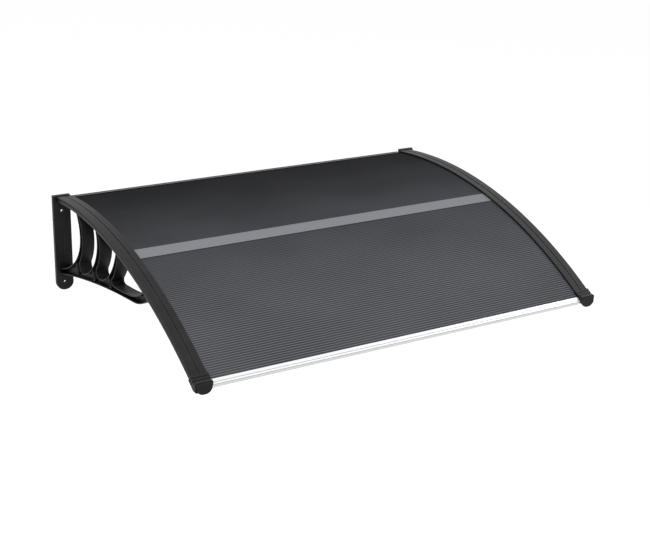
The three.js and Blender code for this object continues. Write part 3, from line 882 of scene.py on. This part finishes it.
def screw(name, angle, seat_rise, length):
    """A pan head screw with a cross recess, up through its hole on the left from below."""
    base = arch_point(angle, seat_rise)
    centre = in_space(LEFT_SIDE + SCREW_INSET, base.x, base.y)
    axis = Vector((0, -math.sin(angle), math.cos(angle)))
    head = [(HEAD_RADIUS * math.cos(t), -FIT - HEAD_HEIGHT * math.sin(t))
            for t in map(math.radians, HEAD_ANGLES)]
    shank = [(SHANK_RADIUS, -FIT), (SHANK_RADIUS, length - TIP_LENGTH),
             (SHANK_RADIUS * TIP_SHARE, length)]
    body = turned(name, head + shank, centre, axis)
    side = Vector((1, 0, 0))
    other = axis.cross(side)
    return cut(body, [recess_slot(centre, side, other, axis), recess_slot(centre, other, side, axis)])


# Colours

PLASTIC_TONES = [(0.3, (0.0125, 0.0125, 0.0125)), (0.7, (0.019, 0.019, 0.0188))]
PLASTIC_SPECK = (0.026, 0.026, 0.026)
# Painted highlight on the edges
PLASTIC_EDGE_HIGHLIGHT = (0.13, 0.13, 0.127)
# Painted shade in hollows and corners
PLASTIC_HOLLOW_SHADE = (0.002, 0.002, 0.002)
# Painted shade in the end cap's grooves
PLASTIC_GROOVE_SHADE = (0.001, 0.001, 0.001)

# The sheet's dark tint at shares of the way from the wall to the front, with a painted reflection that
# makes it lighter towards the front
SHEET_TINT_AND_REFLECTION = [
    (0.0, (0.022, 0.0222, 0.0235)), (0.15, (0.026, 0.0265, 0.028)),
    (0.42, (0.047, 0.048, 0.0525)), (0.6, (0.053, 0.0545, 0.060)),
    (0.8, (0.060, 0.0615, 0.068)), (1.0, (0.062, 0.0635, 0.070)),
]
# The webs seen through the top skin, made paler as a painted highlight
SHEET_WEB_HIGHLIGHT = (0.175, 0.177, 0.19)
BAR_TONE = (0.222, 0.225, 0.245)
BAR_WEB_TONE = (0.19, 0.192, 0.21)
BAR_SHADOW = (0.03, 0.0305, 0.033)

ALUMINIUM_STREAKS = [(0.25, (0.76, 0.762, 0.77)), (0.75, (0.86, 0.862, 0.868))]
ALUMINIUM_CLOUD = (0.70, 0.71, 0.73)
# Painted shade in the front profile's grooves
ALUMINIUM_GROOVE_SHADE = (0.12, 0.12, 0.125)
DARK_STREAKS = [(0.25, (0.010, 0.010, 0.0105)), (0.75, (0.018, 0.018, 0.019))]
ZINC_TONES = [(0.3, (0.50, 0.50, 0.49)), (0.7, (0.68, 0.68, 0.66))]

WHITE = (1, 1, 1, 1)
FLOOR_COLOUR = (0.86, 0.86, 0.86, 1)


# Materials

def node_tree(name):
    material = bpy.data.materials.new(name)
    material.use_nodes = True
    tree = material.node_tree
    shader = tree.nodes["Principled BSDF"]
    return material, tree, shader


def add(tree, kind, **values):
    """A node, with values for its properties."""
    node = tree.nodes.new(kind)
    for key, value in values.items():
        setattr(node, key, value)
    return node


def stretched_noise(tree, scale, detail, stretch=(1, 1, 1), roughness=0.55):
    """Noise in the object's own space, drawn out along an axis by a stretch."""
    place = add(tree, "ShaderNodeTexCoord")
    mapping = add(tree, "ShaderNodeMapping")
    mapping.inputs["Scale"].default_value = stretch
    noise = add(tree, "ShaderNodeTexNoise")
    noise.inputs["Scale"].default_value = scale
    noise.inputs["Detail"].default_value = detail
    noise.inputs["Roughness"].default_value = roughness
    tree.links.new(place.outputs["Object"], mapping.inputs["Vector"])
    tree.links.new(mapping.outputs["Vector"], noise.inputs["Vector"])
    return noise.outputs["Fac"]


def ramp(tree, value, stops):
    """A colour ramp of (place, colour) stops."""
    node = add(tree, "ShaderNodeValToRGB")
    elements = node.color_ramp.elements
    while len(elements) < len(stops):
        elements.new(0.5)
    for element, (place, colour) in zip(elements, stops):
        element.position = place
        element.color = (*colour, 1) if isinstance(colour, tuple) else (colour, colour, colour, 1)
    tree.links.new(value, node.inputs["Fac"])
    return node.outputs["Color"]


def math_node(tree, operation, a, b=None, clamp=False):
    node = add(tree, "ShaderNodeMath", operation=operation, use_clamp=clamp)
    for socket, value in zip(node.inputs, (a, b)):
        if value is None:
            continue
        if isinstance(value, (int, float)):
            socket.default_value = value
        else:
            tree.links.new(value, socket)
    return node.outputs[0]


def mixed(tree, factor, a, b, blend="MIX"):
    node = add(tree, "ShaderNodeMix", data_type="RGBA", blend_type=blend)
    for socket, value in ((node.inputs[0], factor), (node.inputs[6], a), (node.inputs[7], b)):
        if isinstance(value, (int, float)):
            socket.default_value = value
        elif isinstance(value, tuple):
            socket.default_value = (*value, 1)
        else:
            tree.links.new(value, socket)
    return node.outputs[2]


def bump(tree, shader, height, strength, distance):
    node = add(tree, "ShaderNodeBump")
    node.inputs["Strength"].default_value = strength
    node.inputs["Distance"].default_value = distance
    tree.links.new(height, node.inputs["Height"])
    tree.links.new(node.outputs["Normal"], shader.inputs["Normal"])


def vary_roughness(tree, shader, value, spread, least):
    """Roughness that runs from the least up through a spread, as a value goes from 0 to 1."""
    rough = math_node(tree, "ADD", math_node(tree, "MULTIPLY", value, spread), least)
    tree.links.new(rough, shader.inputs["Roughness"])


def drawn_streaks(tree):
    """Fine streaks along the wall, as an extrusion has."""
    return stretched_noise(tree, 420, 3, stretch=(0.012, 1, 1), roughness=0.7)


def edge_mask(tree, radius):
    """Near 1 on the edges of a piece and 0 on its flats."""
    soft = add(tree, "ShaderNodeBevel", samples=4)
    soft.inputs["Radius"].default_value = radius
    place = add(tree, "ShaderNodeNewGeometry")
    dot = add(tree, "ShaderNodeVectorMath", operation="DOT_PRODUCT")
    tree.links.new(soft.outputs["Normal"], dot.inputs[0])
    tree.links.new(place.outputs["Normal"], dot.inputs[1])
    return math_node(tree, "MULTIPLY", math_node(tree, "SUBTRACT", 1.0, dot.outputs["Value"]), 6.0, True)


def groove_line(tree, way, middle, half):
    """1 where a point's distance along a way, in metres, is near a middle."""
    place = add(tree, "ShaderNodeTexCoord")
    dot = add(tree, "ShaderNodeVectorMath", operation="DOT_PRODUCT")
    dot.inputs[1].default_value = way
    tree.links.new(place.outputs["Object"], dot.inputs[0])
    off = math_node(tree, "ABSOLUTE", math_node(tree, "SUBTRACT", dot.outputs["Value"], middle))
    return math_node(tree, "LESS_THAN", off, half)


def hollow_shade_mask(tree, reach):
    """1 in the open and down to 0 in grooves and corners, within a reach, for painted shade."""
    shade = add(tree, "ShaderNodeAmbientOcclusion", samples=6)
    shade.inputs["Distance"].default_value = reach
    return math_node(tree, "POWER", shade.outputs["AO"], 2.0)


def front_corner():
    """The front end of the sheet's top face, and the ways along the arch and out of it there."""
    base = arch_point(FRONT_ANGLE)
    tangent = Vector((0, -math.cos(FRONT_ANGLE), -math.sin(FRONT_ANGLE)))
    normal = Vector((0, -math.sin(FRONT_ANGLE), math.cos(FRONT_ANGLE)))
    return in_space(0, base.x, base.y), tangent, normal


def cap_groove_shade(tree):
    """The painted shade in the two grooves of the end cap's sleeve, a little wider than the grooves are.
    """
    half = 1.5 * MM
    corner, tangent, _ = front_corner()
    middles = [corner.dot(tangent) + (place + CAP_GROOVE / 2) * MM for place in CAP_GROOVE_PLACES]
    return math_node(tree, "MAXIMUM", *[groove_line(tree, tangent, m, half) for m in middles])


def front_groove_shade(tree):
    """The two grooves of the front profile, a little wider than they are, as their shadow is."""
    top_half, face_half = 0.6 * MM, 0.8 * MM
    corner, tangent, normal = front_corner()
    outer = FIT + PROFILE_WALL
    top = corner.dot(tangent) + (outer - FRONT_GROOVE_SETBACK - FRONT_GROOVE / 2) * MM
    face = corner.dot(normal) + (outer - FRONT_GROOVE_DROP - FRONT_GROOVE / 2) * MM
    top_line = groove_line(tree, tangent, top, top_half)
    face_line = groove_line(tree, normal, face, face_half)
    return math_node(tree, "MAXIMUM", top_line, face_line)


def black_plastic(name, groove_shade=None):
    """Moulded plastic: fine grain, painted highlights on the edges, and painted shade in hollows and
    grooves.
    """
    material, tree, shader = node_tree(name)
    cloud = stretched_noise(tree, 22, 4)
    speck = stretched_noise(tree, 900, 2)
    base = ramp(tree, cloud, PLASTIC_TONES)
    base = mixed(tree, math_node(tree, "MULTIPLY", speck, 0.25), base, PLASTIC_SPECK)
    # Painted highlight: the edges are made paler, more where the grain is paler
    edge_highlight = math_node(tree, "MULTIPLY", edge_mask(tree, 0.0016), math_node(tree, "ADD", cloud, 0.2))
    base = mixed(tree, math_node(tree, "MULTIPLY", edge_highlight, 0.8, True), base, PLASTIC_EDGE_HIGHLIGHT)
    # Painted shade: darker in hollows and corners, where shade falls
    base = mixed(tree, hollow_shade_mask(tree, 0.018), PLASTIC_HOLLOW_SHADE, base)
    # Painted shade in the end cap's grooves, for the material that is given them
    if groove_shade:
        shade = math_node(tree, "MULTIPLY", groove_shade(tree), 0.9)
        base = mixed(tree, shade, base, PLASTIC_GROOVE_SHADE)
    tree.links.new(base, shader.inputs["Base Color"])
    vary_roughness(tree, shader, cloud, 0.22, 0.33)
    shader.inputs["Specular IOR Level"].default_value = 0.12
    bump(tree, shader, stretched_noise(tree, 1500, 3, roughness=0.7), 0.35, 0.00018)
    return material


def arch_share(tree):
    """How far along the sheet a point lies, from 0 at the wall to 1 at the front."""
    place = add(tree, "ShaderNodeTexCoord")
    parts = add(tree, "ShaderNodeSeparateXYZ")
    tree.links.new(place.outputs["Object"], parts.inputs["Vector"])
    outward = math_node(tree, "MULTIPLY", parts.outputs["Y"], -1.0)
    reach = math_node(tree, "SUBTRACT", outward, CROWN_REACH * MM)
    centre_height = (ARCH_CENTRE_HEIGHT - ORIGIN_HEIGHT) * MM
    height = math_node(tree, "SUBTRACT", parts.outputs["Z"], centre_height)
    angle = math_node(tree, "ARCTAN2", reach, height)
    return math_node(tree, "DIVIDE", math_node(tree, "SUBTRACT", angle, REAR_ANGLE), SHEET_TURN)


def web_lines(tree, along):
    """1 along each web of the sheet and 0 between them."""
    phase = math_node(tree, "FRACT", math_node(tree, "MULTIPLY", along, float(FLUTES)))
    off = math_node(tree, "ABSOLUTE", math_node(tree, "SUBTRACT", phase, 0.5))
    return ramp(tree, off, [(0.0, 0.0), (0.30, 0.0), (0.46, 1.0), (0.5, 1.0)])


def with_bar(tree, along, web_line, tone):
    """The sheet's tone with the bar seen through it, and a dark line at the bar's front edge.
    A share runs from 0 to 1 over two bar widths, so the bar's own edges are at 0.25 and 0.75."""
    half = BAR_WIDTH / 2 / ARCH_RADIUS / SHEET_TURN
    middle = (angle_at(BAR_REACH + BAR_SEEN_FORWARD) - REAR_ANGLE) / SHEET_TURN
    off = math_node(tree, "DIVIDE", math_node(tree, "SUBTRACT", along, middle), half)
    share = math_node(tree, "ADD", math_node(tree, "MULTIPLY", off, 0.25), 0.5)
    edge = ramp(tree, share, [(0.75, 0.0), (0.76, 1.0), (0.79, 1.0), (0.81, 0.0)])
    tone = mixed(tree, math_node(tree, "MULTIPLY", edge, 0.8), tone, BAR_SHADOW)
    bar = ramp(tree, share, [(0.243, 0.0), (0.253, 1.0), (0.747, 1.0), (0.757, 0.0)])
    web_share = math_node(tree, "MULTIPLY", web_line, 0.3)
    return mixed(tree, bar, tone, mixed(tree, web_share, BAR_TONE, BAR_WEB_TONE))


def tinted_sheet():
    """Grey twin-wall sheet: its tint along the arch with a painted reflection that lightens the front,
    cloudy patches, web lines with a painted highlight that shows more towards the front, and the pale
    bar that shows through from below."""
    material, tree, shader = node_tree("tinted_twin_wall_sheet")
    along = arch_share(tree)
    web_line = web_lines(tree, along)
    cloud = stretched_noise(tree, 3.2, 3, stretch=(1.0, 1.7, 1.0), roughness=0.45)
    patch = ramp(tree, cloud, [(0.36, 0.90), (0.5, 1.0), (0.66, 1.07)])
    # The tint, with a painted reflection: darker at the wall, lighter towards the front
    tone = mixed(tree, 1.0, ramp(tree, along, SHEET_TINT_AND_REFLECTION), patch, "MULTIPLY")
    # The webs seen through the skin, made paler as a painted highlight that grows towards the front
    web_highlight_share = ramp(tree, along, [(0.35, 0.04), (0.62, 0.5), (0.85, 0.9)])
    tone = mixed(tree, math_node(tree, "MULTIPLY", web_line, web_highlight_share), tone, SHEET_WEB_HIGHLIGHT)
    tone = with_bar(tree, along, web_line, tone)
    tree.links.new(tone, shader.inputs["Base Color"])
    vary_roughness(tree, shader, cloud, 0.12, 0.16)
    shader.inputs["Specular IOR Level"].default_value = 0.0
    bump(tree, shader, stretched_noise(tree, 60, 2, stretch=(0.2, 1, 1)), 0.15, 0.0004)
    return material


def aluminium():
    """Matt anodised aluminium with fine streaks, and painted shade in the front profile's grooves."""
    material, tree, shader = node_tree("extruded_aluminium")
    streaks = drawn_streaks(tree)
    cloud = stretched_noise(tree, 9, 3, stretch=(0.4, 1, 1))
    base = ramp(tree, streaks, ALUMINIUM_STREAKS)
    base = mixed(tree, math_node(tree, "MULTIPLY", cloud, 0.25), base, ALUMINIUM_CLOUD)
    # Painted shade in the front profile's grooves
    shade = math_node(tree, "MULTIPLY", front_groove_shade(tree), 0.7)
    base = mixed(tree, shade, base, ALUMINIUM_GROOVE_SHADE)
    tree.links.new(base, shader.inputs["Base Color"])
    shader.inputs["Metallic"].default_value = 0.3
    vary_roughness(tree, shader, streaks, 0.2, 0.24)
    bump(tree, shader, streaks, 0.25, 0.00012)
    return material


def dark_aluminium():
    material, tree, shader = node_tree("black_anodised_aluminium")
    streaks = drawn_streaks(tree)
    tree.links.new(ramp(tree, streaks, DARK_STREAKS), shader.inputs["Base Color"])
    shader.inputs["Metallic"].default_value = 0.7
    vary_roughness(tree, shader, streaks, 0.2, 0.3)
    shader.inputs["Specular IOR Level"].default_value = 0.1
    bump(tree, shader, streaks, 0.25, 0.00012)
    return material


def zinc_steel():
    material, tree, shader = node_tree("zinc_plated_steel")
    cloud = stretched_noise(tree, 240, 3)
    tree.links.new(ramp(tree, cloud, ZINC_TONES), shader.inputs["Base Color"])
    shader.inputs["Metallic"].default_value = 1.0
    vary_roughness(tree, shader, cloud, 0.25, 0.22)
    bump(tree, shader, stretched_noise(tree, 1800, 2), 0.3, 0.0001)
    return material


# Pieces on the frame

def dress(piece, node, material):
    piece.data.materials.clear()
    piece.data.materials.append(material)
    smooth(piece)
    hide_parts(node)
    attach(piece, "root")


def dress_pair(left, node, material):
    right = mirrored(left, left.name.replace("left", "right"))
    dress(left, "left_" + node, material)
    dress(right, "right_" + node, material)


def build_pieces():
    plastic = black_plastic("moulded_black_plastic")
    cap_plastic = black_plastic("moulded_cap_plastic", cap_groove_shade)
    tint, bright, zinc = tinted_sheet(), aluminium(), zinc_steel()
    dress_pair(bracket(), "bracket", plastic)
    dress_pair(cover_strip(), "cover_strip", plastic)
    dress_pair(end_cap(), "end_cap", cap_plastic)
    dress(roof_sheet(), "roof_sheet", tint)
    dress(front_profile(), "front_profile", bright)
    dress(rear_profile(), "rear_profile", dark_aluminium())
    dress(centre_bar(), "centre_bar", bright)
    cover_length = COVER_TOP - COVER_SKIN - FIT - UNDER_RISE
    for i, reach in enumerate(COVER_SCREW_REACHES, 1):
        made = screw(f"left_cover_screw_{i}_head", angle_at(reach), UNDER_RISE, cover_length)
        dress_pair(made, f"cover_screw_{i}", zinc)
    made = screw("left_cap_screw_head", cap_screw_angle(), CAP_FOOT, SEAT_RISE - FIT - CAP_FOOT)
    dress_pair(made, "cap_screw", zinc)


# Floor, light and camera

FLOOR_DROP = 2.3
FLOOR_SIZE = 60.0
FLOOR_GLOW = 0.6
WORLD_LIGHT = 0.45

# Square lamps: name, place, the point that it shines at, size in metres and watts
LAMPS = [
    ("key", (-1.6, -2.6, 3.4), (0, -0.45, -0.1), 2.6, 120),
    ("fill", (3.2, -1.2, 2.0), (0, -0.45, -0.1), 2.4, 45),
    ("right_sheen", (3.1, 1.1, 2.4), (0.6, -0.6, 0), 2.2, 16),
]

CAMERA_PLACE = (-1.6571, -3.1884, 1.1053)
CAMERA_AZIMUTH = -31.52
CAMERA_ELEVATION = 21.71
CAMERA_ROLL = 2.15
CAMERA_LENS = 67.96
CAMERA_SENSOR = 36


def seen_directly(tree):
    """1 for camera, mirror and see-through rays, and 0 for light that falls on things."""
    rays = add(tree, "ShaderNodeLightPath")
    seen = math_node(tree, "MAXIMUM", rays.outputs["Is Camera Ray"], rays.outputs["Is Glossy Ray"])
    return math_node(tree, "MAXIMUM", seen, rays.outputs["Is Transmission Ray"])


def with_glow(tree, surface, strength):
    """Adds a white glow to a surface, for the rays that see it directly."""
    glow = add(tree, "ShaderNodeEmission")
    glow.inputs["Color"].default_value = WHITE
    tree.links.new(math_node(tree, "MULTIPLY", seen_directly(tree), strength), glow.inputs["Strength"])
    both = add(tree, "ShaderNodeAddShader")
    tree.links.new(surface, both.inputs[0])
    tree.links.new(glow.outputs["Emission"], both.inputs[1])
    return both.outputs["Shader"]


def build_floor():
    bpy.ops.mesh.primitive_plane_add(size=FLOOR_SIZE, location=(0, 0, -FLOOR_DROP))
    floor = bpy.context.object
    floor.name = "floor"
    material, tree, shader = node_tree("pale_floor")
    shader.inputs["Base Color"].default_value = FLOOR_COLOUR
    shader.inputs["Roughness"].default_value = 0.9
    shader.inputs["Specular IOR Level"].default_value = 0.0
    glowing = with_glow(tree, shader.outputs["BSDF"], FLOOR_GLOW)
    tree.links.new(glowing, tree.nodes["Material Output"].inputs["Surface"])
    floor.data.materials.append(material)


def build_lamp(name, place, target, size, power):
    data = bpy.data.lights.new(name, "AREA")
    data.shape = "SQUARE"
    data.size = size
    data.energy = power
    lamp = bpy.data.objects.new(name, data)
    lamp.location = place
    lamp.rotation_euler = (Vector(target) - Vector(place)).to_track_quat("-Z", "Y").to_euler()
    bpy.context.scene.collection.objects.link(lamp)


def build_light():
    world = bpy.data.worlds.new("studio")
    bpy.context.scene.world = world
    world.use_nodes = True
    tree = world.node_tree
    background = tree.nodes["Background"]
    background.inputs["Color"].default_value = WHITE
    extra = math_node(tree, "MULTIPLY", seen_directly(tree), 1 - WORLD_LIGHT)
    tree.links.new(math_node(tree, "ADD", extra, WORLD_LIGHT), background.inputs["Strength"])
    for lamp in LAMPS:
        build_lamp(*lamp)


def build_camera():
    azimuth, elevation, roll = (math.radians(a) for a in (CAMERA_AZIMUTH, CAMERA_ELEVATION, CAMERA_ROLL))
    level = math.cos(elevation)
    back = Vector((math.sin(azimuth) * level, -math.cos(azimuth) * level, math.sin(elevation)))
    right = Vector((math.cos(azimuth), math.sin(azimuth), 0))
    up = back.cross(right)
    turned_right = right * math.cos(roll) + up * math.sin(roll)
    turned_up = up * math.cos(roll) - right * math.sin(roll)
    data = bpy.data.cameras.new("camera")
    data.sensor_width = CAMERA_SENSOR
    data.lens = CAMERA_LENS
    camera = bpy.data.objects.new("camera", data)
    axes = Matrix((turned_right, turned_up, back)).transposed()
    camera.matrix_world = Matrix.Translation(CAMERA_PLACE) @ axes.to_4x4()
    bpy.context.scene.collection.objects.link(camera)
    bpy.context.scene.camera = camera


bpy.context.scene.view_settings.view_transform = "Standard"
build_pieces()
build_floor()
build_light()
build_camera()
